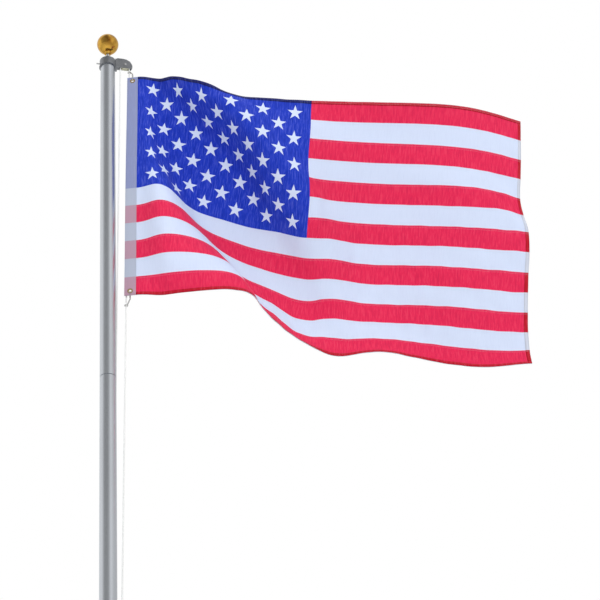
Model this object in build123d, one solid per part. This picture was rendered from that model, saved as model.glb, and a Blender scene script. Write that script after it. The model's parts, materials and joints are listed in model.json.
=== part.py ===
"""A six metre sectional flagpole with a ball finial, a single-pulley truck, a halyard and a flag.

Frame: millimetres, +Z up, origin at the centre of the pole's foot at ground level.
+X is the side that the truck's pulley arm points to, and the pulley's axle lies along Y.
"""
from build123d import *
import math
import os

os.makedirs("parts", exist_ok=True)

# Pole: aluminium tube in equal sections, each swaged end plugging into the section above it.
pole_height = 6090.0
pole_dia = 50.8
pole_wall = 1.3
section_pitch = 1290.0
section_count = 5
socket_depth = 75.0
socket_clearance = 0.15
swage_length = 2.5
socket_end_chamfer = 0.4

# Foot: a plastic plug that closes the bottom of the tube.
plug_face = 2.0
plug_length = 20.0
plug_wall = 2.5
plug_clearance = 0.1

# Truck: a cast cap on the top of the pole, with a hood for the pulley on one side.
truck_clearance = 0.2
truck_wall = 2.8
truck_skirt_length = 29.0
truck_top_thickness = 4.0
truck_top_round = 3.0
truck_rim_height = 4.0
truck_rim_width = 1.6
flange_reach = 5.0
flange_half_width = 14.0
flange_above_top = 4.0
hood_above_rim = 45.0
hood_below_rim = 4.0
hood_cheek = 3.0
hood_reach = 87.0
hood_nose_radius = 30.0
hood_edge_round = 1.2

# Pulley and its axle.
sheave_x = 61.0
sheave_dia = 38.0
sheave_width = 9.0
sheave_side_gap = 0.8
sheave_lightening_holes = 5
axle_dia = 6.0
axle_running_gap = 0.06
axle_head_dia = 10.0
axle_head_height = 3.0
axle_tail = 7.0
axle_nut_width = 10.0
axle_nut_height = 5.0

# Halyard: one braided rope over the pulley, belayed on the cleat.
rope_dia = 5.0
rope_seat_gap = 0.3
rope_pitch_radius = 16.0

# Set screw through the skirt of the truck.
set_screw_dia = 5.0
set_screw_out = 11.5
set_screw_height = 15.0
set_screw_gap = 0.1

# Ball finial on a threaded spindle.
ball_dia = 76.2
ball_wall = 1.0
ball_centre_above_truck = 79.0
cup_dia = 25.0
cup_height = 9.0
cup_neck_dia = 17.0
lock_nut_width = 19.0
lock_nut_height = 9.0
spindle_dia = 12.7
spindle_bore_gap = 0.1

# Cleat on the side of the pole away from the camera side, and its two screws.
cleat_z = 1550.0
cleat_bearing_deg = 100.0
cleat_length = 150.0
cleat_base_length = 78.0
cleat_base_width = 22.0
cleat_base_thickness = 5.0
cleat_stem_width = 14.0
cleat_stem_length = 44.0
cleat_standoff = 27.0
cleat_horn_dia = 14.0
cleat_horn_tip_dia = 8.0
cleat_horn_rise = 9.0
cleat_screw_pitch = 58.0
cleat_screw_dia = 5.0
cleat_screw_head_dia = 9.5
cleat_screw_head_height = 2.6
cleat_screw_length = 14.0
rope_line_out = 34.6

# Snap hooks and grommets that hold the flag to the halyard.
header_drop = 42.0
header_behind_rope = 5.0
header_clear_of_rope = 9.0
grommet_inset = 19.0
grommet_from_end = 17.0
grommet_hole_dia = 9.5
grommet_outer_dia = 18.0
grommet_barrel_wall = 0.8
grommet_flange = 0.9
grommet_fit = 0.1
snap_drop = 48.0
snap_wire_dia = 3.0
snap_loop_half = 5.5
snap_loop_top = 17.0
snap_eye_radius = 5.0
snap_eye_wire_dia = 3.2
snap_shank_dia = 4.0
snap_gate_dia = 2.6
snap_gate_gap = 0.3
snap_seat_gap = 0.6

# Flag: a canvas heading and the sewn cloth.
flag_hoist = 914.0
flag_fly = 1524.0
header_width = 38.0
header_thickness = 2.0
header_bearing_deg = -20.0
cloth_thickness = 2.0

# Everything below follows from the sizes above.
pole_radius = pole_dia / 2
pole_bore_radius = pole_radius - pole_wall
spigot_radius = pole_bore_radius - socket_clearance
truck_inner_radius = pole_radius + truck_clearance
truck_outer_radius = truck_inner_radius + truck_wall
truck_rim_z = pole_height - truck_skirt_length
truck_top_z = pole_height + truck_top_thickness
sheave_radius = sheave_dia / 2
sheave_z = truck_rim_z + sheave_radius
hood_gap = sheave_width + 2 * sheave_side_gap
hood_half_width = hood_gap / 2 + hood_cheek
rope_radius = rope_dia / 2
ball_centre_z = truck_top_z + ball_centre_above_truck
ball_radius = ball_dia / 2


def ring_profile(*points):
    """Revolve a closed outline of (radius, height) points round the pole's axis."""
    outline = Plane.XZ * make_face(Polyline(*points, close=True))
    return revolve(outline, Axis.Z)


def seam_heights():
    """Heights of the seams between sections, from the lowest up."""
    return [pole_height - section_pitch * k for k in range(section_count - 1, 0, -1)]


def pole_section(bottom_z, top_z, has_spigot):
    """One tube. Its upper end is swaged down to plug into the next section."""
    if not has_spigot:
        return ring_profile(
            (pole_bore_radius, bottom_z), (pole_radius, bottom_z),
            (pole_radius, top_z), (pole_bore_radius, top_z),
        )
    spigot_bore = spigot_radius - pole_wall
    spigot_top = top_z + socket_depth
    return ring_profile(
        (pole_bore_radius, bottom_z),
        (pole_radius, bottom_z),
        (pole_radius, top_z - swage_length),
        (spigot_radius, top_z),
        (spigot_radius, spigot_top - socket_end_chamfer),
        (spigot_radius - socket_end_chamfer, spigot_top),
        (spigot_bore, spigot_top),
        (spigot_bore, top_z),
        (pole_bore_radius, top_z - swage_length),
    )


def foot_plug():
    """Plug with a full face under the tube and a hollow stub inside it."""
    stub = pole_bore_radius - plug_clearance
    return ring_profile(
        (0, 0), (pole_radius, 0), (pole_radius, plug_face), (stub, plug_face), (stub, plug_length),
        (stub - plug_wall, plug_length), (stub - plug_wall, plug_face), (0, plug_face),
    )


def truck():
    """The cast truck: cap, rim, flange and the pulley's hood in one piece."""
    rim_radius = truck_outer_radius + truck_rim_width
    cap = Pos(0, 0, truck_rim_z) * Cylinder(
        truck_outer_radius, truck_top_z - truck_rim_z,
        align=(Align.CENTER, Align.CENTER, Align.MIN),
    )
    cap = fillet(cap.edges().group_by(Axis.Z)[-1], truck_top_round)
    rim = Pos(0, 0, truck_rim_z) * Cylinder(
        rim_radius, truck_rim_height, align=(Align.CENTER, Align.CENTER, Align.MIN),
    )
    flange_x = truck_outer_radius + flange_reach
    flange = Pos(truck_inner_radius, 0, truck_rim_z) * Box(
        flange_x - truck_inner_radius, 2 * flange_half_width, truck_top_z + flange_above_top - truck_rim_z,
        align=(Align.MIN, Align.CENTER, Align.MIN),
    )
    flange = fillet(flange.faces().sort_by(Axis.X)[-1].edges(), hood_edge_round)
    body = cap + rim + flange + hood()
    bore = Pos(0, 0, truck_rim_z) * Cylinder(
        truck_inner_radius, pole_height - truck_rim_z, align=(Align.CENTER, Align.CENTER, Align.MIN),
    )
    spindle_hole = Pos(0, 0, pole_height) * Cylinder(
        spindle_dia / 2 + spindle_bore_gap, 6 * truck_top_thickness,
    )
    screw_hole = Pos(-truck_outer_radius, 0, truck_rim_z + set_screw_height) * Rot(0, 90, 0) * Cylinder(
        set_screw_dia / 2 + set_screw_gap, 4 * truck_wall,
    )
    axle_hole = Pos(sheave_x, 0, sheave_z) * Rot(90, 0, 0) * Cylinder(
        axle_dia / 2 + axle_running_gap, 4 * hood_half_width,
    )
    slot = Pos(sheave_x, 0, truck_rim_z) * Box(
        2 * (sheave_radius + 3.0), hood_gap, 2 * (sheave_radius + 21.0),
    )
    return body - bore - spindle_hole - screw_hole - axle_hole - slot


def hood():
    """The solid form of the hood: two cheeks and a roof, before the pulley's slot is cut."""
    top = truck_rim_z + hood_above_rim
    low = truck_rim_z + hood_below_rim
    with BuildSketch(Plane.XZ) as side:
        with BuildLine():
            Polyline(
                (0, low), (hood_reach - 6.0, low), (hood_reach, low + 8.0), (hood_reach - 1.5, low + 18.0),
                (hood_reach - 9.0, top - 9.0), (hood_reach - 21.0, top - 1.5), (hood_reach - 30.0, top),
                (truck_inner_radius, top), (0, top), close=True,
            )
        make_face()
    block = extrude(side.sketch, hood_half_width, both=True)
    block = fillet(block.faces().filter_by(Axis.Y).edges().filter_by(lambda e: e.center().X > hood_reach / 2), hood_edge_round)
    clear = Pos(0, 0, truck_top_z) * Cylinder(
        truck_outer_radius + flange_reach, 2 * hood_above_rim, align=(Align.CENTER, Align.CENTER, Align.MIN),
    )
    return block - clear


def sheave():
    """Grooved nylon pulley with round lightening holes in its web."""
    groove_radius = rope_radius + rope_seat_gap
    root = rope_pitch_radius - groove_radius
    half = sheave_width / 2
    wheel = Cylinder(sheave_radius, sheave_width)
    wheel -= Torus(rope_pitch_radius, groove_radius)
    flare = groove_radius * 0.92
    cut = ring_profile(
        (rope_pitch_radius, -flare), (sheave_radius + 1.0, -half * 0.86),
        (sheave_radius + 1.0, half * 0.86), (rope_pitch_radius, flare),
    )
    wheel -= cut
    wheel -= Cylinder(axle_dia / 2 + axle_running_gap, 2 * sheave_width)
    hole_radius = (root - axle_dia / 2) * 0.3
    hole_circle = (root + axle_dia / 2) / 2 + 0.3
    for spot in PolarLocations(hole_circle, sheave_lightening_holes):
        wheel -= spot * Cylinder(hole_radius, 2 * sheave_width)
    return Pos(sheave_x, 0, sheave_z) * Rot(90, 0, 0) * wheel


def axle():
    """Pulley axle: a domed head on the -Y cheek and a plain shank through both cheeks."""
    shank_length = 2 * hood_half_width + axle_tail
    shank = Cylinder(axle_dia / 2, shank_length, align=(Align.CENTER, Align.CENTER, Align.MIN))
    head = Pos(0, 0, -axle_head_height) * Cylinder(
        axle_head_dia / 2, axle_head_height, align=(Align.CENTER, Align.CENTER, Align.MIN),
    )
    head = fillet(head.edges().group_by(Axis.Z)[0], axle_head_height * 0.6)
    return Pos(sheave_x, -hood_half_width, sheave_z) * Rot(-90, 0, 0) * (shank + head)


def hex_nut(width, height, bore_radius):
    """Hexagonal nut, its lower face on the XY plane."""
    body = extrude(RegularPolygon(width / 2, 6, major_radius=False), height)
    body = body & Cylinder(width * 0.56, height, align=(Align.CENTER, Align.CENTER, Align.MIN))
    return body - Cylinder(bore_radius, 3 * height)


def axle_nut():
    """Nut on the tail of the axle."""
    nut = hex_nut(axle_nut_width, axle_nut_height, axle_dia / 2 + axle_running_gap)
    return Pos(sheave_x, hood_half_width, sheave_z) * Rot(-90, 0, 0) * nut


def set_screw():
    """Slotted screw that clamps the truck on the pole."""
    length = truck_outer_radius + set_screw_out - pole_radius
    screw = Cylinder(set_screw_dia / 2, length, align=(Align.CENTER, Align.CENTER, Align.MIN))
    screw = chamfer(screw.edges(), 0.5)
    slot = Pos(0, 0, length) * Box(1.0, 2 * set_screw_dia, 3.0)
    return Pos(-pole_radius, 0, truck_rim_z + set_screw_height) * Rot(0, -90, 0) * (screw - slot)


def ball():
    """Hollow spun ball, open below where the cup's neck enters."""
    shell = Sphere(ball_radius) - Sphere(ball_radius - ball_wall)
    shell -= Pos(0, 0, -ball_radius) * Cylinder(cup_neck_dia / 2, 4 * ball_wall + 8.0)
    return Pos(0, 0, ball_centre_z) * shell


def cup_seat_z():
    """Height where the cup's rim meets the ball."""
    return ball_centre_z - math.sqrt(ball_radius ** 2 - (cup_dia / 2 * 0.82) ** 2)


def finial_cup():
    """Flared cup under the ball, with a threaded neck that reaches inside it."""
    seat = cup_seat_z()
    bottom = ball_centre_z - ball_radius - cup_height
    bore = spindle_dia / 2 + spindle_bore_gap
    body = ring_profile(
        (bore, bottom),
        (cup_neck_dia / 2 + 1.0, bottom),
        (cup_dia / 2, bottom + 2.5),
        (cup_dia / 2, seat),
        (cup_dia / 2 * 0.82, seat),
        (cup_neck_dia / 2 - 0.1, ball_centre_z - ball_radius + 1.0),
        (cup_neck_dia / 2 - 0.1, ball_centre_z - ball_radius + 7.0),
        (bore, ball_centre_z - ball_radius + 7.0),
    )
    return body - Pos(0, 0, ball_centre_z) * Sphere(ball_radius + 0.05)  \
        + Pos(0, 0, ball_centre_z - ball_radius - 1.0) * (
            Cylinder(cup_neck_dia / 2 - 0.1, 9.0, align=(Align.CENTER, Align.CENTER, Align.MIN))
            - Cylinder(bore, 30.0)
        )


def lock_nut():
    """Dark lock nut on the truck, under the finial."""
    return Pos(0, 0, truck_top_z) * hex_nut(lock_nut_width, lock_nut_height, spindle_dia / 2 + spindle_bore_gap)


def spindle():
    """Threaded rod that joins the truck to the ball's cup."""
    top = ball_centre_z - ball_radius + 6.0
    rod = Pos(0, 0, pole_height) * Cylinder(
        spindle_dia / 2, top - pole_height, align=(Align.CENTER, Align.CENTER, Align.MIN),
    )
    return chamfer(rod.edges().group_by(Axis.Z)[-1], 1.0)


cleat_frame = Plane(
    origin=(0, 0, cleat_z),
    x_dir=(0, 0, 1),
    z_dir=(math.cos(math.radians(cleat_bearing_deg)), math.sin(math.radians(cleat_bearing_deg)), 0),
)


def cleat():
    """Cast horn cleat. Local X runs up the pole, local Z points straight out from it."""
    base_top = pole_radius + cleat_base_thickness
    base = Pos(0, 0, pole_radius * 0.6) * extrude(
        SlotOverall(cleat_base_length, cleat_base_width), base_top - pole_radius * 0.6,
    )
    crown = pole_radius + cleat_standoff
    stem = Pos(0, 0, pole_radius) * extrude(
        RectangleRounded(cleat_stem_length, cleat_stem_width, 5.0), cleat_standoff + 2.0,
    )
    window = Pos(0, 0, base_top + (crown - base_top) / 2 - 1.0) * Rot(90, 0, 0) * Cylinder(
        (crown - base_top) * 0.36, 4 * cleat_stem_width,
    )
    horns = None
    for side in (1, -1):
        tip = side * (cleat_length / 2 - cleat_horn_tip_dia / 2)
        root = side * cleat_stem_length * 0.25
        line = Line((root, 0, crown), (tip, 0, crown + cleat_horn_rise))
        start = Plane(origin=line @ 0, z_dir=line % 0)
        end = Plane(origin=line @ 1, z_dir=line % 1)
        horn = loft([start * Circle(cleat_horn_dia / 2), end * Circle(cleat_horn_tip_dia / 2)])
        horn += Pos(tip, 0, crown + cleat_horn_rise) * Sphere(cleat_horn_tip_dia / 2)
        horn += Pos(root, 0, crown) * Sphere(cleat_horn_dia / 2)
        horns = horn if horns is None else horns + horn
    middle = Pos(0, 0, crown) * Rot(0, 90, 0) * Cylinder(cleat_horn_dia / 2, cleat_stem_length * 0.5)
    body = base + stem - window + horns + middle
    saddle = Rot(0, 90, 0) * Cylinder(pole_radius, 2 * cleat_length)
    body -= saddle
    for side in (1, -1):
        body -= Pos(side * cleat_screw_pitch / 2, 0, 0) * Cylinder(
            cleat_screw_dia / 2 + 0.1, 4 * pole_radius,
        )
    return cleat_frame * body


def cleat_screw(side):
    """Round-headed screw through the cleat's foot into the tube wall."""
    seat = pole_radius + cleat_base_thickness
    head = Pos(0, 0, seat) * Cylinder(
        cleat_screw_head_dia / 2, cleat_screw_head_height, align=(Align.CENTER, Align.CENTER, Align.MIN),
    )
    head = fillet(head.edges().group_by(Axis.Z)[-1], cleat_screw_head_height * 0.8)
    shank = Pos(0, 0, pole_radius) * Cylinder(
        cleat_screw_dia / 2, cleat_base_thickness, align=(Align.CENTER, Align.CENTER, Align.MIN),
    )
    return cleat_frame * Pos(side * cleat_screw_pitch / 2, 0, 0) * (head + shank)


def belay_point(along, across):
    """A point on the belay plane beside the cleat's stem: along the pole, and across it."""
    out = pole_radius + rope_line_out
    return (cleat_frame * Pos(along, across, out)).position


fall_start = Vector(sheave_x + rope_pitch_radius, 0, sheave_z)
back_start = Vector(sheave_x - rope_pitch_radius, 0, sheave_z)
fall_end = belay_point(0, cleat_stem_width / 2 + rope_radius + 1.0)
back_end = belay_point(0, -(cleat_stem_width / 2 + rope_radius + 1.0))


def rope_along(path):
    """Sweep the rope's round section along a path."""
    return sweep(Plane(origin=path @ 0, z_dir=path % 0) * Circle(rope_radius), path=path)


def halyard_fall(top, bottom):
    """A straight taut stretch of rope, cut level at both ends so that it meets the bight."""
    return extrude(Plane(origin=top) * Circle(rope_radius), (bottom - top).length, dir=bottom - top)


def halyard_bight():
    """The half turn of rope over the pulley."""
    crown = Vector(sheave_x, 0, sheave_z + rope_pitch_radius)
    return rope_along(ThreePointArc(fall_start, crown, back_start))


rope_down = (fall_end - fall_start).normalized()
plan_bearing = math.radians(header_bearing_deg)
flat_out = Vector(math.cos(plan_bearing), math.sin(plan_bearing), 0)
header_out = (flat_out - rope_down * flat_out.dot(rope_down)).normalized()
header_front = rope_down.cross(header_out)
header_top_z = truck_rim_z - header_drop
rope_at_header_top = fall_start + rope_down * ((sheave_z - header_top_z) / -rope_down.Z)
header_frame = Plane(
    origin=rope_at_header_top + header_out * -header_behind_rope + header_front * header_clear_of_rope,
    x_dir=header_out, z_dir=header_front,
)


def header_point(s, t, front=0.0):
    """Point of the heading: s out from its inner edge, t down from its top, front of its middle."""
    return header_frame.origin + header_out * s + rope_down * t + header_front * front


def fold_bearing(s, t):
    """Plan bearing of the cloth, in degrees, at s along the fly and t down the hoist."""
    reach = max(0.0, s - header_width) / (flag_fly - header_width)
    wave = math.sin(2 * math.pi * (1.6 * reach - 0.5 * t / flag_hoist))
    return header_bearing_deg * (1 - min(1.0, reach * 4)) + 26.0 * wave * min(1.0, reach * 6)


def cloth_row(t, steps):
    """Points along the fly at one depth t, stepping the cloth's bearing from the heading out."""
    step = (flag_fly - header_width) / steps
    point = header_point(header_width, t)
    row = [point]
    for index in range(steps):
        bearing = math.radians(fold_bearing(header_width + step * (index + 0.5), t))
        point = point + Vector(math.cos(bearing), math.sin(bearing), 0) * step
        row.append(point)
    return row


def cloth():
    """The cloth as one thin closed solid, thickened evenly from its middle surface."""
    rows = [cloth_row(flag_hoist * k / 12, 36) for k in range(13)]
    surface = Face.make_surface_from_array_of_points(rows, tol=0.5)
    return Solid.thicken(surface, cloth_thickness)


def header():
    """Canvas heading with a hole for each grommet."""
    blank = header_frame * Pos(header_width / 2, -flag_hoist / 2, 0) * Box(
        header_width, flag_hoist, header_thickness,
    )
    hole = Cylinder(grommet_hole_dia / 2 + grommet_barrel_wall + grommet_fit, 6 * header_thickness)
    for t in grommet_depths:
        blank -= header_frame * Pos(grommet_inset, -t, 0) * hole
    return blank


grommet_depths = (grommet_from_end, flag_hoist - grommet_from_end)


def grommet(t):
    """Brass eyelet: a barrel and two flanges that clamp the heading."""
    hole = grommet_hole_dia / 2
    half = header_thickness / 2
    face = half + grommet_flange
    profile = make_face(Polyline(
        (hole, -face), (grommet_outer_dia / 2, -half - 0.3), (grommet_outer_dia / 2, -half),
        (hole + grommet_barrel_wall, -half), (hole + grommet_barrel_wall, half),
        (grommet_outer_dia / 2, half), (grommet_outer_dia / 2, half + 0.3), (hole, face), close=True,
    ))
    ring = revolve(Plane.XZ * profile, Axis.Z)
    return header_frame * Pos(grommet_inset, -t, 0) * ring


def hung_snap(shape, t):
    """Place a snap's piece. Its origin is at the eye on the rope, X outboard and Y up the rope.

    The upper snap's eye is above its grommet. The lower snap is the same one upside down.
    """
    upper = t < flag_hoist / 2
    centre = rope_at_header_top + rope_down * (t - snap_drop if upper else t + snap_drop)
    frame = Plane(origin=centre, x_dir=header_out, z_dir=header_front)
    return frame * (shape if upper else mirror(shape, Plane.XZ))


snap_out = grommet_inset - header_behind_rope
snap_front = header_clear_of_rope
snap_low = snap_drop - grommet_hole_dia / 2 + snap_wire_dia / 2 + snap_seat_gap - snap_loop_half


def snap_body(t):
    """Snap hook: swivel eye round the rope, shank and a wire loop through the grommet."""
    eye = Rot(90, 0, 0) * Torus(snap_eye_radius, snap_eye_wire_dia / 2)
    far = snap_front + snap_loop_half
    near = snap_front - snap_loop_half
    loop_mid = snap_loop_top + snap_loop_half
    path = (
        Line((snap_out, -snap_low + 4.0, far), (snap_out, -snap_low, far))
        + ThreePointArc(
            (snap_out, -snap_low, far), (snap_out, -snap_low - snap_loop_half, snap_front),
            (snap_out, -snap_low, near),
        )
        + Line((snap_out, -snap_low, near), (snap_out, -loop_mid, near))
        + ThreePointArc(
            (snap_out, -loop_mid, near), (snap_out, -snap_loop_top, snap_front),
            (snap_out, -loop_mid, far),
        )
    )
    wire = sweep(
        Plane(origin=(snap_out, -snap_low + 4.0, far), z_dir=(0, -1, 0)) * Circle(snap_wire_dia / 2),
        path=path,
    )
    reach = math.hypot(snap_out, snap_front)
    ring_side = Vector(snap_out, 0, snap_front) * (snap_eye_radius / reach)
    shank_line = Line(ring_side, (snap_out, -snap_loop_top, snap_front))
    shank = sweep(
        Plane(origin=shank_line @ 0, z_dir=shank_line % 0) * Circle(snap_shank_dia / 2), path=shank_line,
    )
    rope_hole = Rot(90, 0, 0) * Cylinder(snap_eye_radius - snap_eye_wire_dia / 2, 20.0)
    return hung_snap(eye + (shank - rope_hole) + wire, t)


def snap_gate(t):
    """Sprung gate that closes the front of the loop."""
    far = snap_front + snap_loop_half
    low = snap_low - 4.0 - snap_gate_gap
    high = snap_loop_top + snap_loop_half + snap_gate_gap
    rod = Rot(90, 0, 0) * Cylinder(snap_gate_dia / 2, low - high)
    stud = Pos(0, 0, snap_gate_dia * 0.9) * Cylinder(1.2, snap_gate_dia)
    return hung_snap(Pos(snap_out, -(low + high) / 2, far) * (rod + stud), t)


def write(node, shape):
    """Write one piece as a STEP file named after its node."""
    export_step(shape, "parts/" + node + ".step")


bottoms = [plug_face] + seam_heights()
tops = seam_heights() + [pole_height]
for number, (bottom_z, top_z) in enumerate(zip(bottoms, tops), start=1):
    write("pole_section_" + str(number), pole_section(bottom_z, top_z, number < section_count))

write("foot_plug", foot_plug())
write("truck_body", truck())
write("sheave", sheave())
write("sheave_axle", axle())
write("axle_nut", axle_nut())
write("set_screw", set_screw())
write("finial_ball", ball())
write("finial_cup", finial_cup())
write("lock_nut", lock_nut())
write("finial_spindle", spindle())
write("cleat", cleat())
write("cleat_screw_upper", cleat_screw(1))
write("cleat_screw_lower", cleat_screw(-1))
write("halyard_bight", halyard_bight())
write("halyard_hoist_fall", halyard_fall(fall_start, fall_end))
write("halyard_back_fall", halyard_fall(back_start, back_end))
write("flag_heading", header())
write("flag_cloth", cloth())
for name, depth in zip(("upper", "lower"), grommet_depths):
    write("grommet_" + name, grommet(depth))
    write("snap_body_" + name, snap_body(depth))
    write("snap_gate_" + name, snap_gate(depth))
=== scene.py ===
"""A six metre flagpole with its flag flying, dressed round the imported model.

Everything is in metres, +Z up, with the origin at the centre of the pole's foot.
"""
import json
import logging
import math
from dataclasses import dataclass, field
from enum import Enum
from typing import Iterable, Optional, Sequence, Union

import bpy
import numpy as np
from mathutils import Matrix, Vector


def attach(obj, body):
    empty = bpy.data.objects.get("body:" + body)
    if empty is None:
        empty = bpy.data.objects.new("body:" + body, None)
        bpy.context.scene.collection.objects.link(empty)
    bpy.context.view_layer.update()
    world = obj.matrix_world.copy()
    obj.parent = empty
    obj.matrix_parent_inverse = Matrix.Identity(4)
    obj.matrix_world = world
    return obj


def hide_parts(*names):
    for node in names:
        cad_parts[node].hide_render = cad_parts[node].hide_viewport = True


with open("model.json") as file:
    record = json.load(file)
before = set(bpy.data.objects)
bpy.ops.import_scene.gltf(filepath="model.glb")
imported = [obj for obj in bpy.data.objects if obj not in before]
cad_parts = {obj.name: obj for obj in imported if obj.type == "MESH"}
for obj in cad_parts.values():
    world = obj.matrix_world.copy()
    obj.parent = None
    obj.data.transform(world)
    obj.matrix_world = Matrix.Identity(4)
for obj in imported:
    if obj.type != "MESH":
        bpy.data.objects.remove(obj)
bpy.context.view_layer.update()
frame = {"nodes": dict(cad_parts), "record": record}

log = logging.getLogger("flagpole")

Triple = tuple[float, float, float]
Colour = Triple
Socket = bpy.types.NodeSocket
Source = Union[float, Socket]
Tint = Union[Colour, Socket]
MM_PER_M = 1000


class Body(str, Enum):
    """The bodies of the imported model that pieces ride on."""

    MAST = "mast"
    PULLEY = "pulley"
    FLAG = "flag"


class Slot(str, Enum):
    """The record's material slots."""

    POLE = "pole_aluminium"
    CAST = "cast_truck"
    GOLD = "gold_ball"
    BRIGHT = "bright_steel"
    DARK = "dark_steel"
    NYLON = "nylon"
    PLASTIC = "black_plastic"
    ROPE = "rope"
    CANVAS = "canvas"
    CLOTH = "flag_fabric"
    BRASS = "grommet_brass"
    NICKEL = "snap_metal"


class Shader:
    """The node tree of a material or of the room, built by small steps."""

    def __init__(self, name: str, world: bool = False) -> None:
        """Start an empty material, or a world, with only its output.

        Args:
            name: Its name.
            world: Whether it lights the whole scene.
        """
        self.made = bpy.data.worlds.new(name) if world else bpy.data.materials.new(name)
        self.made.use_nodes = True
        self.tree = self.made.node_tree
        self.tree.nodes.clear()
        self.output = self.node("OutputWorld" if world else "OutputMaterial")

    def node(self, kind: str, **settings: object) -> bpy.types.Node:
        """Add a node.

        Args:
            kind: Blender's name for the node, without its Shader prefix.
            settings: Properties of the node.

        Returns:
            The new node.
        """
        made = self.tree.nodes.new("ShaderNode" + kind)
        for name, value in settings.items():
            setattr(made, name, value)
        return made

    def feed(self, socket: Socket, source: Source) -> None:
        """Link a socket to another one, or set its own value."""
        if isinstance(source, Socket):
            self.tree.links.new(source, socket)
        else:
            socket.default_value = source

    def paint(self, socket: Socket, colour: Tint) -> None:
        """Feed a colour socket with a colour or with another socket."""
        self.feed(socket, colour if isinstance(colour, Socket) else (*colour, 1.0))

    def math(self, operation: str, a: Source, b: Source = 0.0, c: Source = 0.0) -> Socket:
        """Work out one step of arithmetic.

        Args:
            operation: The name of the sum, as Blender's Math node has it.
            a: First number.
            b: Second number.
            c: Third number, where the sum has one.

        Returns:
            The result's socket.
        """
        made = self.node("Math", operation=operation)
        for socket, source in zip(made.inputs, (a, b, c)):
            self.feed(socket, source)
        return made.outputs[0]

    def times(self, a: Source, b: Source) -> Socket:
        """One number times another."""
        return self.math("MULTIPLY", a, b)

    def mix(self, share: Source, a: Tint, b: Tint, blend: str = "MIX") -> Socket:
        """Blend two colours.

        Args:
            share: How much of the second colour there is.
            a: First colour.
            b: Second colour.
            blend: The way of blending.

        Returns:
            The colour's socket.
        """
        made = self.node("Mix", data_type="RGBA", blend_type=blend)
        self.feed(made.inputs["Factor"], share)
        self.paint(made.inputs[6], a)
        self.paint(made.inputs[7], b)
        return made.outputs[2]

    def spread(self, value: Source, low: float, high: float, start: float = 0.0, end: float = 1.0,
               ease: str = "LINEAR") -> Socket:
        """Map a value from one range to another, and hold it there."""
        made = self.node("MapRange", interpolation_type=ease)
        self.feed(made.inputs["Value"], value)
        for name, number in zip(("From Min", "From Max", "To Min", "To Max"), (start, end, low, high)):
            made.inputs[name].default_value = number
        return made.outputs[0]

    def noise(self, place: Socket, stretch: Sequence[float], detail: float = 3.0,
              rough: float = 0.55) -> Socket:
        """Grain of a given stretch along each axis, in cells to the metre."""
        turn = self.node("Mapping")
        self.feed(turn.inputs["Vector"], place)
        turn.inputs["Scale"].default_value = stretch
        made = self.node("TexNoise")
        self.feed(made.inputs["Vector"], turn.outputs[0])
        made.inputs["Scale"].default_value = 1.0
        made.inputs["Detail"].default_value = detail
        made.inputs["Roughness"].default_value = rough
        return made.outputs["Fac"]

    def place(self) -> Socket:
        """Object coordinates, which are metres in the model's own frame."""
        return self.node("TexCoord").outputs["Object"]

    def principled(self, colour: Tint, roughness: Source, metallic: float = 0.0,
                   height: Optional[Socket] = None, depth: float = 0.0,
                   **more: float) -> bpy.types.Node:
        """Add the surface shader.

        Args:
            colour: Base colour.
            roughness: Roughness.
            metallic: 1 for bare metal.
            height: Relief for the bump.
            depth: Depth of the relief, in metres.
            more: Other sockets by name, with spaces as underscores.

        Returns:
            The shader node.
        """
        made = self.node("BsdfPrincipled")
        self.paint(made.inputs["Base Color"], colour)
        self.feed(made.inputs["Roughness"], roughness)
        made.inputs["Metallic"].default_value = metallic
        for name, number in more.items():
            made.inputs[name.replace("_", " ")].default_value = number
        if height is not None:
            bump = self.node("Bump")
            bump.inputs["Strength"].default_value = 1.0
            bump.inputs["Distance"].default_value = depth
            self.feed(bump.inputs["Height"], height)
            self.feed(made.inputs["Normal"], bump.outputs[0])
        return made

    def join(self, share: Source, first: bpy.types.Node, second: bpy.types.Node) -> Socket:
        """Blend two shaders, by the share of the second."""
        made = self.node("MixShader")
        for socket, source in zip(made.inputs, (share, first.outputs[0], second.outputs[0])):
            self.feed(socket, source)
        return made.outputs[0]

    def finish(self, shader: Socket) -> Union[bpy.types.Material, bpy.types.World]:
        """Link the last shader to the output and hand the material or world over."""
        self.feed(self.output.inputs["Surface"], shader)
        return self.made


@dataclass(frozen=True)
class MetalFinish:
    """Bare or plated metal with a grain.

    Attributes:
        name: The material's name.
        colour: Colour of the metal.
        roughness: Lowest and highest roughness over the grain.
        grain: Cells of grain to the metre, along X, Y and Z.
        relief: Depth of the grain, in metres.
        tarnish: Colour of the duller patches.
        patchiness: How much the patches show.
        patches: Patches to the metre, along X, Y and Z.
    """

    name: str
    colour: Colour
    roughness: tuple[float, float]
    grain: Triple
    relief: float
    tarnish: Colour
    patchiness: float
    patches: Triple = (9.0, 9.0, 4.0)

    def material(self) -> bpy.types.Material:
        """Build the material."""
        shader = Shader(self.name)
        place = shader.place()
        grain = shader.noise(place, self.grain, 4.0)
        patch = shader.noise(place, self.patches, 4.0, 0.6)
        colour = shader.mix(shader.spread(patch, 0.0, self.patchiness, 0.4, 0.75), self.colour, self.tarnish)
        colour = shader.mix(shader.spread(grain, 0.0, 0.25, 0.35, 0.7), colour, self.tarnish)
        rough = shader.spread(grain, *self.roughness, 0.3, 0.7)
        surface = shader.principled(colour, rough, 1.0, grain, self.relief)
        return shader.finish(surface.outputs[0])


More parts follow.
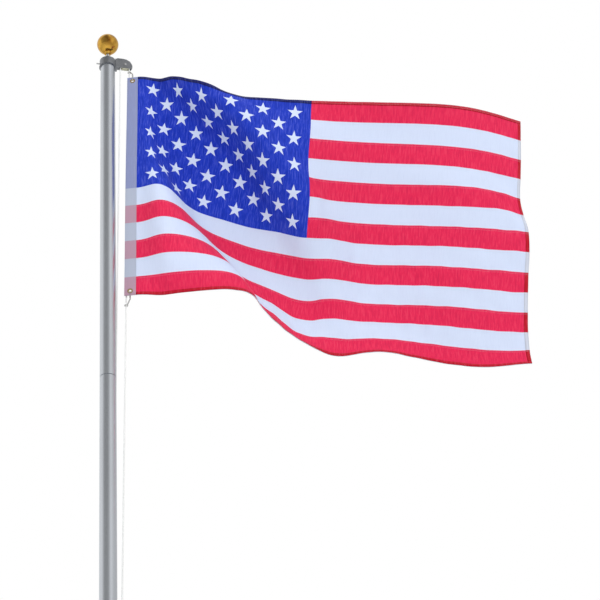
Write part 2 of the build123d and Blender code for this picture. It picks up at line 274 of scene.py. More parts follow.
@dataclass(frozen=True)
class PlasticFinish:
    """Moulded plastic with a fine texture.

    Attributes:
        name: The material's name.
        colour: Its colour.
        dust: Colour of the worn or dusty places.
        roughness: Lowest and highest roughness.
    """

    name: str
    colour: Colour
    dust: Colour
    roughness: tuple[float, float]

    def material(self) -> bpy.types.Material:
        """Build the material."""
        shader = Shader(self.name)
        place = shader.place()
        grain = shader.noise(place, (900.0, 900.0, 900.0), 2.0)
        patch = shader.noise(place, (60.0, 60.0, 60.0), 4.0)
        colour = shader.mix(shader.spread(patch, 0.0, 0.5, 0.4, 0.8), self.colour, self.dust)
        surface = shader.principled(colour, shader.spread(patch, *self.roughness), 0.0, grain, 0.00004)
        return shader.finish(surface.outputs[0])


@dataclass(frozen=True)
class RopeFinish:
    """White polyester yarn. The piece's UV map runs round the rope and along it, in metres."""

    name: str = "rope_yarn"
    colour: Colour = (0.80, 0.81, 0.80)
    shadow: Colour = (0.52, 0.54, 0.53)

    def material(self) -> bpy.types.Material:
        """Build the material."""
        shader = Shader(self.name)
        uv = shader.node("UVMap").outputs[0]
        yarn = shader.noise(uv, (9000.0, 900.0, 1.0), 2.0)
        soil = shader.noise(shader.place(), (14.0, 14.0, 14.0), 4.0)
        colour = shader.mix(shader.spread(yarn, 0.0, 0.55, 0.35, 0.75), self.colour, self.shadow)
        colour = shader.mix(shader.spread(soil, 0.0, 0.25, 0.5, 0.8), colour, self.shadow)
        surface = shader.principled(colour, 0.75, 0.0, yarn, 0.00008, Sheen_Weight=0.3)
        return shader.finish(surface.outputs[0])


@dataclass(frozen=True)
class FlagPattern:
    """Thirteen stripes and a field of fifty stars, in metres from the flag's head and hoist.

    Attributes:
        fly: Whole length, heading and cloth.
        hoist: Height.
        stripes: Number of stripes.
        field_start: Where the blue field begins.
        field_width: Its width.
        field_stripes: How many stripes it is high.
        star_radius: From a star's middle to its tips.
        columns: Steps across the field, with stars on every other one.
        rows: Steps down the field.
    """

    fly: float = 1.524
    hoist: float = 0.914
    stripes: int = 13
    field_start: float = 0.038
    field_width: float = 0.695
    field_stripes: int = 7
    star_radius: float = 0.0290
    columns: int = 12
    rows: int = 10

    def lattice(self, shader: Shader, along: Source, down: Source, shift: float) -> Socket:
        """One of the two square lattices of stars.

        Args:
            shader: The material being built.
            along: Place across the field, in star columns.
            down: Place down the field, in star rows.
            shift: 0 for the odd columns and rows, 1 for the even ones.

        Returns:
            1 inside a star, else 0.
        """
        x = shader.math("SUBTRACT", shader.math("MODULO", shader.math("ADD", along, shift), 2.0), 1.0)
        y = shader.math("SUBTRACT", 1.0, shader.math("MODULO", shader.math("ADD", down, shift), 2.0))
        x = shader.times(x, self.field_width / self.columns)
        y = shader.times(y, self.hoist * self.field_stripes / self.stripes / self.rows)
        far = shader.math("SQRT", shader.math("ADD", shader.times(x, x), shader.times(y, y)))
        half = math.pi / 5
        turn = shader.math("ADD", shader.math("ARCTAN2", x, y), math.tau + half)
        turn = shader.math("SUBTRACT", shader.math("MODULO", turn, 2 * half), half)
        turn = shader.math("ABSOLUTE", turn)
        over = shader.math("SUBTRACT", shader.times(far, shader.math("COSINE", turn)), self.star_radius)
        beside = shader.times(far, shader.math("SINE", turn))
        waist = self.star_radius * math.sin(math.radians(18)) / math.sin(math.radians(54))
        edge = Vector((waist * math.cos(half) - self.star_radius, waist * math.sin(half)))
        inside = shader.math("SUBTRACT", shader.times(beside, edge.x), shader.times(over, edge.y))
        return shader.math("GREATER_THAN", inside, 0.0)

    def between(self, shader: Shader, value: Source, low: float, high: float) -> Socket:
        """1 where a value is between two limits, else 0."""
        return shader.times(shader.math("GREATER_THAN", value, low), shader.math("LESS_THAN", value, high))

    def masks(self, shader: Shader, s: Source, t: Source) -> tuple[Source, Source, Source]:
        """Where the cloth is red, where it is blue and where a star is.

        Args:
            shader: The material being built.
            s: Metres along the fly.
            t: Metres down the hoist.

        Returns:
            The red, blue and star masks.
        """
        band = self.hoist / self.stripes
        red = shader.math("LESS_THAN", shader.math("MODULO", shader.math("DIVIDE", t, band), 2.0), 1.0)
        foot = band * self.field_stripes
        end = self.field_start + self.field_width
        blue = shader.times(shader.math("LESS_THAN", s, end), shader.math("LESS_THAN", t, foot))
        step = self.field_width / self.columns
        along = shader.math("DIVIDE", shader.math("SUBTRACT", s, self.field_start), step)
        down = shader.math("DIVIDE", t, foot / self.rows)
        across = self.between(shader, along, 0.0, self.columns)
        odd = shader.times(self.lattice(shader, along, down, 0.0), across)
        inner = shader.times(
            self.between(shader, along, 1.0, self.columns - 1.0),
            self.between(shader, down, 1.0, self.rows - 1.0),
        )
        even = shader.times(self.lattice(shader, along, down, 1.0), inner)
        star = shader.times(shader.math("MAXIMUM", odd, even), blue)
        return red, blue, star


@dataclass(frozen=True)
class FabricFinish:
    """Light woven flag cloth in the pattern's colours. The UV map is fly and hoist over the fly's length.

    Attributes:
        name: The material's name.
        pattern: The stripes and stars.
        red: Colour of the red stripes.
        white: Colour of the white stripes.
        blue: Colour of the field.
        veil: A white cloth laid over the pattern, 0 for none. The pattern left showing through it is painted
            light coming through the cloth from behind.
        glow: Share of light that comes through from behind.
        thread: Colour of the sewing thread.
        sewing: How much it shows.
        stitch: Length of a stitch and the gap after it, in metres.
        thread_share: Share of that length that is thread.
        thread_radius: Half the thread's width.
        seam_rows: How far each row of stitches is from its seam.
        heading_inset: How far the heading's seam is from the field.
        slubs: How much the thicker threads show on the red, white and blue cloth.
        canvas: Colour of the veil, a grey-blue darker than white cloth: painted shade.
    """

    name: str
    pattern: FlagPattern
    red: Colour
    white: Colour
    blue: Colour
    veil: float
    glow: float
    thread: Colour = (0.62, 0.64, 0.74)
    stitch: float = 0.005
    seam_rows: tuple[float, float] = (0.0015, 0.0065)
    sewing: float = 0.35
    thread_share: float = 0.65
    thread_radius: float = 0.0005
    heading_inset: float = 0.001
    slubs: Triple = (0.26, 0.06, 0.55)
    canvas: Colour = (0.42, 0.46, 0.56)

    def stitches(self, shader: Shader, s: Source, t: Source, blue: Source) -> Socket:
        """Two rows of stitches beside each seam of the stripes and down the heading's seam.

        Args:
            shader: The material being built.
            s: Metres along the fly.
            t: Metres down the hoist.
            blue: 1 over the field of stars, which has no stripe seams.

        Returns:
            1 on a thread, else 0.
        """
        band = self.pattern.hoist / self.pattern.stripes
        over = shader.math("MODULO", t, band)
        dash, drop = (
            shader.math("LESS_THAN", shader.math("MODULO", run, self.stitch), self.stitch * self.thread_share)
            for run in (s, t)
        )
        dash = shader.times(dash, shader.math("SUBTRACT", 1.0, blue))
        total: Source = 0.0
        for row in self.seam_rows:
            heading_row = self.pattern.field_start - self.heading_inset - row
            for run, place, sewn in ((over, row, dash), (s, heading_row, drop)):
                near = shader.math("COMPARE", run, place, self.thread_radius)
                total = shader.math("MAXIMUM", total, shader.times(near, sewn))
        return total

    def material(self) -> bpy.types.Material:
        """Build the material."""
        shader = Shader(self.name)
        split = shader.node("SeparateXYZ")
        uv = shader.node("UVMap").outputs[0]
        shader.feed(split.inputs[0], uv)
        s = shader.times(split.outputs[0], self.pattern.fly)
        t = shader.times(shader.math("SUBTRACT", 1.0, split.outputs[1]), self.pattern.fly)
        red, blue, star = self.pattern.masks(shader, s, t)
        colour = shader.mix(red, self.white, self.red)
        colour = shader.mix(blue, colour, self.blue)
        colour = shader.mix(star, colour, self.white)
        slub = shader.noise(uv, (330.0, 34.0, 1.0), 4.0, 0.7)
        fine = shader.noise(uv, (1900.0, 1900.0, 1.0), 1.0)
        on_red, on_white, on_blue = self.slubs
        dyed = shader.math("MAXIMUM", shader.times(blue, on_blue), shader.times(red, on_red))
        dyed = shader.times(shader.math("MAXIMUM", dyed, on_white), shader.math("SUBTRACT", 1.0, star))
        thread = shader.spread(slub, 0.0, 1.0, 0.46, 0.70)
        colour = shader.mix(shader.times(thread, dyed), colour, (0.34, 0.36, 0.52), "MULTIPLY")
        light = shader.spread(slub, 0.16, 0.0, 0.34, 0.50)
        colour = shader.mix(shader.times(light, dyed), colour, (0.75, 0.80, 1.0))
        colour = shader.mix(shader.spread(fine, 0.0, 0.08, 0.3, 0.8), colour, (0.05, 0.05, 0.09), "MULTIPLY")
        sewn = shader.times(self.stitches(shader, s, t, blue), self.sewing)
        colour = shader.mix(sewn, colour, self.thread)
        # Where there is a veil, its grey-blue is painted shade, and the pattern left showing through it is
        # painted light coming through the cloth from behind.
        colour = shader.mix(self.veil, colour, self.canvas)
        wave = shader.math("ADD", fine, shader.times(slub, 0.6))
        wave = shader.math("ADD", wave, shader.times(sewn, 3.0))
        face = shader.principled(colour, 0.62, 0.0, wave, 0.00015, Sheen_Weight=0.05, Specular_IOR_Level=0.2)
        through = shader.node("BsdfTranslucent")
        shader.feed(through.inputs["Color"], colour)
        return shader.finish(shader.join(self.glow, face, through))


# Red, white and blue of the cloth, and of the hems, where it lies double. The hems' colours are darker than the
# cloth's: painted shade for the light that the doubled cloth holds back.
FLAG_DYES = ((0.86, 0.030, 0.120), (0.74, 0.81, 0.95), (0.018, 0.058, 0.62))
HEM_PAINTED_SHADE_COLOURS = ((0.50, 0.004, 0.020), (0.60, 0.64, 0.74), (0.010, 0.014, 0.13))
PATTERN = FlagPattern()


def shade_cad(node: str, material: bpy.types.Material) -> None:
    """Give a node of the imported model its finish.

    Args:
        node: The node's name.
        material: The finish.
    """
    piece = frame["nodes"][node]
    piece.data.materials.clear()
    piece.data.materials.append(material)
    for face in piece.data.polygons:
        face.material_index = 0


def add_mesh(name: str, points: np.ndarray, faces: Iterable[Sequence[int]], uv: np.ndarray) -> bpy.types.Object:
    """Make an object from points and faces.

    Args:
        name: The piece's name.
        points: Its vertices, in metres.
        faces: Vertex numbers of each face.
        uv: A UV place for each vertex.

    Returns:
        The new object, smooth shaded.
    """
    mesh = bpy.data.meshes.new(name)
    mesh.from_pydata([tuple(map(float, p)) for p in points], [], [tuple(map(int, f)) for f in faces])
    mesh.update()
    layer = mesh.uv_layers.new(name="UVMap")
    corner = np.empty(len(mesh.loops), int)
    mesh.loops.foreach_get("vertex_index", corner)
    layer.data.foreach_set("uv", uv[corner].astype(np.float32).ravel())
    mesh.polygons.foreach_set("use_smooth", [True] * len(mesh.polygons))
    piece = bpy.data.objects.new(name, mesh)
    bpy.context.scene.collection.objects.link(piece)
    return piece


def apply_modifier(piece: bpy.types.Object, kind: str, **settings: object) -> None:
    """Add a modifier to a piece and apply it.

    Args:
        piece: The piece.
        kind: Blender's name for the modifier.
        settings: Its properties.
    """
    bpy.ops.object.select_all(action="DESELECT")
    bpy.context.view_layer.objects.active = piece
    piece.select_set(True)
    modifier = piece.modifiers.new(kind.lower(), kind)
    for name, value in settings.items():
        setattr(modifier, name, value)
    bpy.ops.object.modifier_apply(modifier=modifier.name)


def dress(piece: bpy.types.Object, material: bpy.types.Material, body: Body) -> None:
    """Give a new piece its finish and the body that it moves with."""
    piece.data.materials.clear()
    piece.data.materials.append(material)
    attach(piece, body.value)
    log.info("built %s", piece.name)


def grid_faces(across: int, down: int, closed: bool = False) -> list[tuple[int, int, int, int]]:
    """Faces of a sheet, or a closed tube, whose points run down each column and then on to the next."""
    return [
        (i * down + j, i * down + (j + 1) % down, (i + 1) * down + (j + 1) % down, (i + 1) * down + j)
        for i in range(across - 1) for j in range(down if closed else down - 1)
    ]


def run_along(points: np.ndarray) -> np.ndarray:
    """How far along a line each of its points is."""
    return np.concatenate([[0], np.cumsum(np.linalg.norm(np.diff(points, axis=0), axis=1))])


@dataclass(frozen=True)
class Fold:
    """A ridge or trough that runs across the cloth from the flag's head to its foot, in metres.

    Attributes:
        head: Where it crosses the head, from the hoist.
        foot: Where it crosses the foot.
        head_depth: How far the cloth is pushed away from the viewer at the head.
        foot_depth: The same at the foot.
        width: Half width of the fold.
        bow: How far its line bows towards the fly at half height.
    """

    head: float
    foot: float
    head_depth: float
    foot_depth: float
    width: float
    bow: float

    def depth(self, s: np.ndarray, share: np.ndarray) -> np.ndarray:
        """Depth of this fold alone, at s along the fly and a share of the way down."""
        crest = self.head + (self.foot - self.head) * share + 4 * self.bow * share * (1 - share)
        height = self.head_depth + (self.foot_depth - self.head_depth) * share
        return height * np.exp(-(((s - crest) / self.width) ** 2))


@dataclass
class Drape:
    """The flying cloth: its folds, and a net that slides until every thread has its cut length.

    The cloth's plane stands on the bearing, and depth is measured square to it, away from
    the viewer. The net is held at the heading's two grommets and along the straight hoist.
    """

    pattern: FlagPattern
    corner: Vector
    down: Vector
    out: Vector
    bearing: float = math.radians(-20.0)
    lean: float = -0.250
    lean_down: float = 0.420
    lean_out: float = 0.175
    start: float = 0.110
    belly: float = 0.032
    belly_fade: float = 0.150
    heading_belly: float = 0.005
    flat_end: float = 0.030
    seam: float = 0.038
    blend: float = 0.102
    eye: Vector = field(default_factory=Vector)
    turn: float = math.radians(12.0)
    front_limit: float = -0.176
    back_limit: float = 0.068
    fly_limit: float = -0.100
    narrows_from: float = 1.0
    ripple: float = 0.0009
    folds: tuple[Fold, ...] = ()
    across: int = 31
    below: int = 19
    grommet_inset: float = 0.019
    grommet_drop: float = 0.017
    net: Optional[np.ndarray] = field(default=None, repr=False)

    def depth(self, s: np.ndarray, t: np.ndarray) -> np.ndarray:
        """Depth of the cloth, behind the plane through the top of the hoist.

        Args:
            s: Metres along the fly.
            t: Metres down the hoist.

        Returns:
            Metres away from the viewer.
        """
        share = t / self.pattern.hoist
        freed = 1 - np.exp(-((s / self.start) ** 2))
        total = self.lean + self.lean_down * share + self.lean_out * s
        for fold in self.folds:
            total = total + fold.depth(s, share)
        return freed * total - self.belly * np.sin(np.pi * share) * np.exp(-((s / self.belly_fade) ** 2))

    def axes(self) -> tuple[Vector, Vector]:
        """The cloth plane's level direction, and the direction away from the viewer."""
        level = Vector((math.cos(self.bearing), math.sin(self.bearing), 0.0))
        away = Vector((-math.sin(self.bearing), math.cos(self.bearing), 0.0))
        return level, away

    def hoist_place(self, s: float, t: np.ndarray) -> np.ndarray:
        """Places in the cloth's plane of points on the straight heading."""
        level, _ = self.axes()
        run = self.out.dot(level) * s + self.down.dot(level) * np.atleast_1d(t)
        rise = self.out.z * s + self.down.z * np.atleast_1d(t)
        return np.stack([run, rise], -1)

    def cells(self) -> np.ndarray:
        """Numbers of the net's points, by column along the fly and row down the hoist."""
        return np.arange(self.across * self.below).reshape(self.across, self.below)

    def ties(self) -> tuple[np.ndarray, np.ndarray, np.ndarray]:
        """The net's threads: both ends of each, and its weight."""
        cell = self.cells()
        runs = (
            (cell[:-1], cell[1:], 1.0), (cell[:, :-1], cell[:, 1:], 1.0),
            (cell[:-1, :-1], cell[1:, 1:], 0.5), (cell[1:, :-1], cell[:-1, 1:], 0.5),
        )
        first = np.concatenate([a.ravel() for a, _, _ in runs])
        last = np.concatenate([b.ravel() for _, b, _ in runs])
        weight = np.concatenate([np.full(a.size, w) for a, _, w in runs])
        return first, last, weight

    def stiffness(self) -> np.ndarray:
        """The cloth's small resistance to bending, as a matrix over the net's points."""
        cell = self.cells()
        matrix = np.zeros((cell.size, cell.size))
        shape = np.array([1.0, -2.0, 1.0])
        for run in ((cell[:-2], cell[1:-1], cell[2:]), (cell[:, :-2], cell[:, 1:-1], cell[:, 2:])):
            three = np.stack([part.ravel() for part in run], 1)
            spots = (np.repeat(three, 3, 1), np.tile(three, (1, 3)))
            np.add.at(matrix, spots, np.outer(shape, shape).ravel())
        return matrix

    def grips(self) -> list[tuple[np.ndarray, np.ndarray, np.ndarray]]:
        """Each grommet's four net points, their shares and where the grommet is held."""
        held = []
        cell = self.cells()
        for t in (self.grommet_drop, self.pattern.hoist - self.grommet_drop):
            u = self.grommet_inset / self.pattern.fly * (self.across - 1)
            v = t / self.pattern.hoist * (self.below - 1)
            i, j = int(u), min(int(v), self.below - 2)
            p, q = u - i, v - j
            spots = np.array([cell[i, j], cell[i + 1, j], cell[i, j + 1], cell[i + 1, j + 1]])
            shares = np.array([(1 - p) * (1 - q), p * (1 - q), (1 - p) * q, p * q])
            held.append((spots, shares, self.hoist_place(self.grommet_inset, t)[0]))
        return held

    def relax(self, rounds: int = 12, stretch: float = 30.0, bend: float = 100.0, hold: float = 100.0,
              grip: float = 1000.0, reach: float = 0.3, damping: float = 1e-3, settled: float = 2e-4,
              guess: tuple[float, float] = (0.86, 0.12)) -> None:
        """Slide the net's points within the plane until its threads have their cut lengths.

        Args:
            rounds: Most rounds to take.
            stretch: Weight of the threads' lengths.
            bend: Weight of the bending.
            hold: Weight of the straight hoist.
            grip: Weight of the grommets.
            reach: Farthest that a point may move in a round, in metres.
            damping: Weight that holds every point back a little.
            settled: A step this short, in metres, ends the rounds.
            guess: Run and fall of the first net, for each metre of the fly.
        """
        s, t = np.meshgrid(
            np.linspace(0, self.pattern.fly, self.across), np.linspace(0, self.pattern.hoist, self.below),
            indexing="ij",
        )
        depth = self.depth(s, t).ravel()
        flat = np.stack([s.ravel(), t.ravel()], -1)
        a, b, weight = self.ties()
        weight = weight * stretch
        rest = np.linalg.norm(flat[a] - flat[b], axis=1)
        rise = depth[a] - depth[b]
        stiff = self.stiffness() * bend ** 2
        hoist = np.arange(self.below)
        line = self.hoist_place(0.0, t[0])[:, 0]
        run, fall = guess
        place = np.stack([run * flat[:, 0], -flat[:, 1] - fall * flat[:, 0]], -1)
        count = len(flat)
        for _ in range(rounds):
            gap = place[a] - place[b]
            length = np.sqrt((gap ** 2).sum(1) + rise ** 2)
            pull = gap / (length * rest)[:, None] * weight[:, None]
            over = (length / rest - 1) * weight
            push = stiff @ place
            np.add.at(push, a, pull * over[:, None])
            np.add.at(push, b, -pull * over[:, None])
            matrix = np.zeros((2 * count, 2 * count))
            for i in range(2):
                matrix[i::2, i::2] += stiff
                for j in range(2):
                    both = pull[:, i] * pull[:, j]
                    for one, other, sign in ((a, a, 1), (b, b, 1), (a, b, -1), (b, a, -1)):
                        np.add.at(matrix, (2 * one + i, 2 * other + j), sign * both)
            matrix[2 * hoist, 2 * hoist] += hold ** 2
            push[hoist, 0] += hold ** 2 * (place[hoist, 0] - line)
            for spots, shares, target in self.grips():
                miss = shares @ place[spots] - target
                for i in range(2):
                    matrix[np.ix_(2 * spots + i, 2 * spots + i)] += np.outer(shares, shares) * grip ** 2
                    push[spots, i] += shares * miss[i] * grip ** 2
            matrix[np.diag_indices(2 * count)] += damping
            step = np.linalg.solve(matrix, -push.ravel()).reshape(count, 2)
            most = np.abs(step).max()
            place = place + step * min(1.0, reach / most)
            if most < settled:
                break
        level, away = self.axes()
        solid = (
            np.array(self.corner)[None] + place[:, :1] * np.array(level) + depth[:, None] * np.array(away)
            + place[:, 1:] * np.array((0.0, 0.0, 1.0))
        )
        self.net = self.slid(solid.reshape(self.across, self.below, 3))
        log.info("cloth settled, last step %.1f mm", most * MM_PER_M)

    def slid(self, net: np.ndarray, fade: float = 0.3, rounds: int = 6) -> np.ndarray:
        """Turn the net with the viewpoint, then slide its points along their lines of sight.

        The cloth keeps its outline, stripes and folds as seen from there, and its depth is pressed
        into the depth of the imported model.

        Args:
            net: Points of the net, square to the line of sight.
            fade: How soon the shift at the hoist fades along the fly, in metres.
            rounds: How often the pressing is evened out along the fly.

        Returns:
            The points in their place in the model.
        """
        net = net @ np.array(Matrix.Rotation(self.turn, 3, "Z")).T
        along = np.linspace(0, self.pattern.fly, self.across)
        depth = net[..., 1]
        middle = (depth.max(1) + depth.min(1)) / 2
        half = (depth.max(1) - depth.min(1)) / 2
        back = np.interp(along, (self.narrows_from, self.pattern.fly), (self.back_limit, self.fly_limit))
        keep = np.minimum(1.0, (back - self.front_limit) / 2 / half)
        shift = (self.corner.y - depth[0, 0]) * np.exp(-((along / fade) ** 2))
        goal = np.clip(middle + shift, self.front_limit + keep * half, back - keep * half)
        for _ in range(rounds):
            for row in (keep, goal):
                row[1:-1] = (row[:-2] + 2 * row[1:-1] + row[2:]) / 4
        pressed = goal[:, None] + keep[:, None] * (depth - middle[:, None])
        share = (pressed - self.eye.y) / (depth - self.eye.y)
        eye = np.array(self.eye)
        return eye + (net - eye) * share[..., None]

    @staticmethod
    def curve_weights(place: np.ndarray, count: int) -> tuple[np.ndarray, np.ndarray]:
        """The four net lines round each place on a smooth curve, and their shares."""
        start = np.clip(np.floor(place).astype(int), 0, count - 2)
        x = place - start
        shares = np.stack([
            -0.5 * x + x ** 2 - 0.5 * x ** 3, 1 - 2.5 * x ** 2 + 1.5 * x ** 3,
            0.5 * x + 2 * x ** 2 - 1.5 * x ** 3, -0.5 * x ** 2 + 0.5 * x ** 3,
        ], -1)
        return start, shares

    def heading(self, s: np.ndarray, t: np.ndarray) -> np.ndarray:
        """Points of the stiff heading, which bellies to the front between its grommets."""
        share = np.clip((t - self.flat_end) / (self.pattern.hoist - 2 * self.flat_end), 0.0, 1.0)
        front = self.heading_belly * np.sin(np.pi * share) ** 2
        axes = (self.out, self.down, self.down.cross(self.out))
        total = np.array(self.corner) + np.zeros((*np.shape(s), 3))
        for axis, amount in zip(axes, (s, t, front)):
            total = total + np.asarray(amount)[..., None] * np.array(axis)
        return total

    def surface(self, s: np.ndarray, t: np.ndarray) -> np.ndarray:
        """Points of the cloth's middle surface. Near the seam it runs on smoothly from the heading.

        Args:
            s: Metres along the fly, any shape.
            t: Metres down the hoist, the same shape.

        Returns:
            The points, with three numbers each.
        """
        padded = np.pad(self.net, ((1, 1), (1, 1), (0, 0)))
        padded[0], padded[-1] = 2 * padded[1] - padded[2], 2 * padded[-2] - padded[-3]
        padded[:, 0], padded[:, -1] = 2 * padded[:, 1] - padded[:, 2], 2 * padded[:, -2] - padded[:, -3]
        shape = np.shape(s)
        u, us = self.curve_weights(np.ravel(s) / self.pattern.fly * (self.across - 1), self.across)
        v, vs = self.curve_weights(np.ravel(t) / self.pattern.hoist * (self.below - 1), self.below)
        total = np.zeros((u.size, 3))
        for i in range(4):
            for j in range(4):
                total += (us[:, i] * vs[:, j])[:, None] * padded[u + i, v + j]
        x = np.clip((np.asarray(s) - self.seam) / self.blend, 0.0, 1.0)
        loose = (x * x * (3 - 2 * x))[..., None]
        total = total.reshape(*shape, 3)
        total[..., 1] += self.ripples(np.asarray(s), np.asarray(t))
        return self.heading(s, t) * (1 - loose) + total * loose

    def ripples(self, s: np.ndarray, t: np.ndarray) -> np.ndarray:
        """Depth of the cloth's small creases, which wander and come and go."""
        total = np.sin(52 * s + 31 * t + 2.2 * np.sin(5 * t))
        total = total + np.sin(-23 * s + 64 * t + 1.9 * np.sin(6 * s))
        total = total + 0.8 * np.sin(88 * s - 17 * t + 2.5 * np.sin(4.1 * s + 3.3 * t))
        return self.ripple * total * (0.55 + 0.45 * np.sin(3.1 * s + 4.7 * t + 1.0))


@dataclass
class Flag:
    """The flag's soft pieces: cloth, hems and heading."""

    pattern: FlagPattern
    drape: Drape
    cell: float = 0.0085
    heading_cell: float = 0.0095
    thickness: float = 0.0008
    heading_width: float = 0.038
    heading_thickness: float = 0.0022
    heading_round: float = 0.0008
    tuck: float = 0.004
    hem: float = 0.011
    fly_hem: float = 0.014
    hem_thickness: float = 0.0024
    hole: float = 0.0054

    def uv(self, s: np.ndarray, t: np.ndarray) -> np.ndarray:
        """The UV place of each point of the cloth."""
        return np.stack([s.ravel() / self.pattern.fly, 1 - t.ravel() / self.pattern.fly], -1)

    def sheet(self, name: str, cell: float, thickness: float,
              *spans: tuple[float, float, float, float]) -> bpy.types.Object:
        """Cut pieces of the cloth's surface and give them their thickness.

        Args:
            name: The piece's name.
            cell: Size of its faces, in metres.
            thickness: Its thickness.
            spans: For each cut, its start and end along the fly, and its start and end down the hoist.

        Returns:
            All the cuts as one piece.
        """
        points, faces, places = [], [], []
        count = 0
        for start, end, head, foot in spans:
            across, down = max(3, round((end - start) / cell) + 1), max(3, round((foot - head) / cell) + 1)
            s, t = np.meshgrid(np.linspace(start, end, across), np.linspace(head, foot, down), indexing="ij")
            points.append(self.drape.surface(s, t).reshape(-1, 3))
            places.append(self.uv(s, t))
            faces += [tuple(corner + count for corner in face) for face in grid_faces(across, down)]
            count += across * down
        piece = add_mesh(name, np.concatenate(points), faces, np.concatenate(places))
        apply_modifier(piece, "SOLIDIFY", thickness=thickness, offset=0.0)
        return piece

    def punch(self, heading: bpy.types.Object) -> None:
        """Cut the grommets' holes through the heading."""
        drape = self.drape
        front = drape.down.cross(drape.out)
        for drop in (drape.grommet_drop, self.pattern.hoist - drape.grommet_drop):
            centre = drape.corner + drape.out * drape.grommet_inset + drape.down * drop
            bpy.ops.object.select_all(action="DESELECT")
            bpy.ops.mesh.primitive_cylinder_add(
                vertices=32, radius=self.hole, depth=0.04, location=centre,
                rotation=front.to_track_quat("Z", "Y").to_euler(),
            )
            cutter = bpy.context.active_object
            apply_modifier(heading, "BOOLEAN", object=cutter, operation="DIFFERENCE")
            bpy.data.objects.remove(cutter)

    def build(self) -> None:
        """Build and dress every piece of the flag."""
        fly, hoist = self.pattern.fly, self.pattern.hoist
        hems = self.sheet(
            "hems", self.cell, self.hem_thickness,
            (self.heading_width, fly, 0.0, self.hem), (self.heading_width, fly, hoist - self.hem, hoist),
            (fly - self.fly_hem, fly, self.hem, hoist - self.hem),
        )
        # The hems' darker colours are painted shade for the light that the doubled cloth holds back.
        edge = FabricFinish("hem_weave_painted_shade", self.pattern, *HEM_PAINTED_SHADE_COLOURS, veil=0.0, glow=0.1)
        dress(hems, edge.material(), Body.FLAG)
        cloth = self.sheet("cloth", self.cell, self.thickness, (self.heading_width - self.tuck, fly, 0.0, hoist))
        finish = FabricFinish("flag_weave", self.pattern, *FLAG_DYES, veil=0.0, glow=0.35)
        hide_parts("flag_cloth")
        dress(cloth, finish.material(), Body.FLAG)
        span = (0.0, self.heading_width, 0.0, hoist)
        heading = self.sheet("heading", self.heading_cell, self.heading_thickness, span)
        apply_modifier(heading, "BEVEL", width=self.heading_round, segments=2, limit_method="ANGLE")
        self.punch(heading)
        # The heading's canvas is painted grey-blue as painted shade, and the flag's pattern shows faintly
        # through it as painted light coming through from behind.
        veil = FabricFinish("heading_canvas_painted_light", self.pattern, *FLAG_DYES, veil=0.72, glow=0.3)
        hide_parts("flag_heading")
        dress(heading, veil.material(), Body.FLAG)


